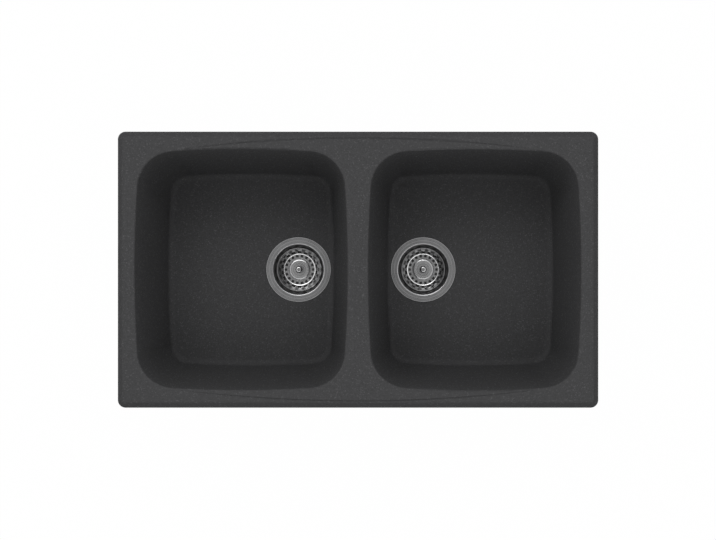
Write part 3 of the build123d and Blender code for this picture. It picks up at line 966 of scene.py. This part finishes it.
table_white = bpy.data.materials.new("table white")
table_white.use_nodes = True
tree = table_white.node_tree
tree.nodes.clear()
paint = place_node(tree, "ShaderNodeBsdfDiffuse", {"Color": (PAINT, PAINT, PAINT, 1.0)})
glow = place_node(
    tree, "ShaderNodeEmission", {"Color": (1.0, 1.0, 1.0, 1.0), "Strength": GLOW_STRENGTH}
)
rays = place_node(tree, "ShaderNodeLightPath").outputs
reflected = maths(tree, "MAXIMUM", rays["Is Glossy Ray"], rays["Is Transmission Ray"])
seen = maths(tree, "MAXIMUM", rays["Is Camera Ray"], reflected)
share = maths(tree, "MULTIPLY", seen, GLOW_SHARE)
from_above = place_node(
    tree, "ShaderNodeMixShader", {0: share, 1: paint.outputs[0], 2: glow.outputs[0]}
)
clear = place_node(tree, "ShaderNodeBsdfTransparent")
is_below = place_node(tree, "ShaderNodeNewGeometry").outputs["Backfacing"]
one_sided = place_node(
    tree, "ShaderNodeMixShader", {0: is_below, 1: from_above.outputs[0], 2: clear.outputs[0]}
)
place_node(tree, "ShaderNodeOutputMaterial", {"Surface": one_sided.outputs[0]})
table_mesh.materials.append(table_white)
print("finish:", table_white.name)

# %% [markdown]
# ## The camera
# The picture is taken from straight above. The camera hangs a little off the sink's
# centre, which shows in the bowls: more of one wall is seen than of the other. Turning
# the camera to look at the middle would skew the outline, so its lens is shifted instead
# and the outline stays square.

# %% Hang the camera
# metres over the deck, and metres off the sink's centre
CAMERA_HEIGHT = 2.877
CAMERA_X = 0.085
CAMERA_Y = 0.004
FRAME_WIDTH_PX = 716
RIM_MM_PER_PX = 1.8027
# where the sink's centre is in the picture, from the picture's middle
SINK_CENTRE_PX = (0.16, -0.30)
SENSOR_WIDTH_MM = 36.0

camera_data = bpy.data.cameras.new("camera")
camera = bpy.data.objects.new("camera", camera_data)
bpy.context.scene.collection.objects.link(camera)
bpy.context.scene.camera = camera
camera.location = (CAMERA_X, CAMERA_Y, deck_z + CAMERA_HEIGHT)
view_width = FRAME_WIDTH_PX * RIM_MM_PER_PX * MM
camera_data.sensor_width = SENSOR_WIDTH_MM
camera_data.lens = SENSOR_WIDTH_MM * CAMERA_HEIGHT / view_width
camera_data.shift_x = SINK_CENTRE_PX[0] / FRAME_WIDTH_PX - CAMERA_X / view_width
camera_data.shift_y = SINK_CENTRE_PX[1] / FRAME_WIDTH_PX - CAMERA_Y / view_width
print("lens", round(camera_data.lens, 1), "mm, view", round(view_width, 3), "m wide")

# %% [markdown]
# ## The room
# Steel looks like steel only when it has something to show. In an even white room a
# polished flange would be a white ring. A real studio is dim straight overhead, where the
# camera hangs, brightest round that, and dimmer towards the walls, with a pale band at
# the horizon. One colour ramp over the height of each direction gives that room.

# %% Make the room
# height of a direction (sine of its elevation) and how bright the room is there
ROOM_BRIGHTNESS = 1.27
ROOM_TONES = (
    (0.0, 0.85),
    (0.10, 0.85),
    (0.22, 0.30),
    (0.91, 1.00),
    (0.975, 0.20),
    (1.0, 0.20),
)

world = bpy.data.worlds.new("room")
bpy.context.scene.world = world
world.use_nodes = True
tree = world.node_tree
tree.nodes.clear()
direction = place_node(tree, "ShaderNodeTexCoord").outputs["Generated"]
upward = place_node(tree, "ShaderNodeSeparateXYZ", {0: direction}).outputs[2]
room_tone = place_node(tree, "ShaderNodeValToRGB", {"Fac": upward})
# a new ramp already has its first and last stop, at 0 and 1
stops = room_tone.color_ramp.elements
for height, _ in ROOM_TONES[1:-1]:
    stops.new(height)
for stop, (height, tone) in zip(stops, ROOM_TONES):
    stop.color = (tone, tone, tone, 1.0)
air = place_node(
    tree,
    "ShaderNodeBackground",
    {"Color": room_tone.outputs["Color"], "Strength": ROOM_BRIGHTNESS},
)
place_node(tree, "ShaderNodeOutputWorld", {"Surface": air.outputs[0]})
print("room:", len(ROOM_TONES), "tones")

# %% [markdown]
# ## The lamps
# One large soft box at the back left gives the walls their difference in tone and draws
# the long crescents on the strainers. A point lamp would give hard shadows in the bowls.
# A narrow strip at the front adds almost no light, only a thin second line on the steel.


# %% Hang the lamps
def soft_box(name, position, width, height, power):
    """A rectangular lamp that faces the sink's middle, with its width level."""
    lamp = bpy.data.lights.new(name, "AREA")
    lamp.shape = "RECTANGLE"
    lamp.size = width
    lamp.size_y = height
    lamp.energy = power
    holder = bpy.data.objects.new(name, lamp)
    bpy.context.scene.collection.objects.link(holder)
    holder.location = position
    holder.rotation_euler = (-Vector(position)).to_track_quat("-Z", "Y").to_euler()


soft_box("key", (-0.6, 1.8, 2.2), width=2.2, height=1.0, power=20)
soft_box("front strip", (0.2, -1.5, 2.6), width=2.0, height=0.12, power=3)
print("lamps:", [lamp.name for lamp in bpy.data.lights])

# %% [markdown]
# ## Finish
# The Standard view shows each tone as it is lit, with no film curve over it.

# %% Close
bpy.context.scene.view_settings.view_transform = "Standard"
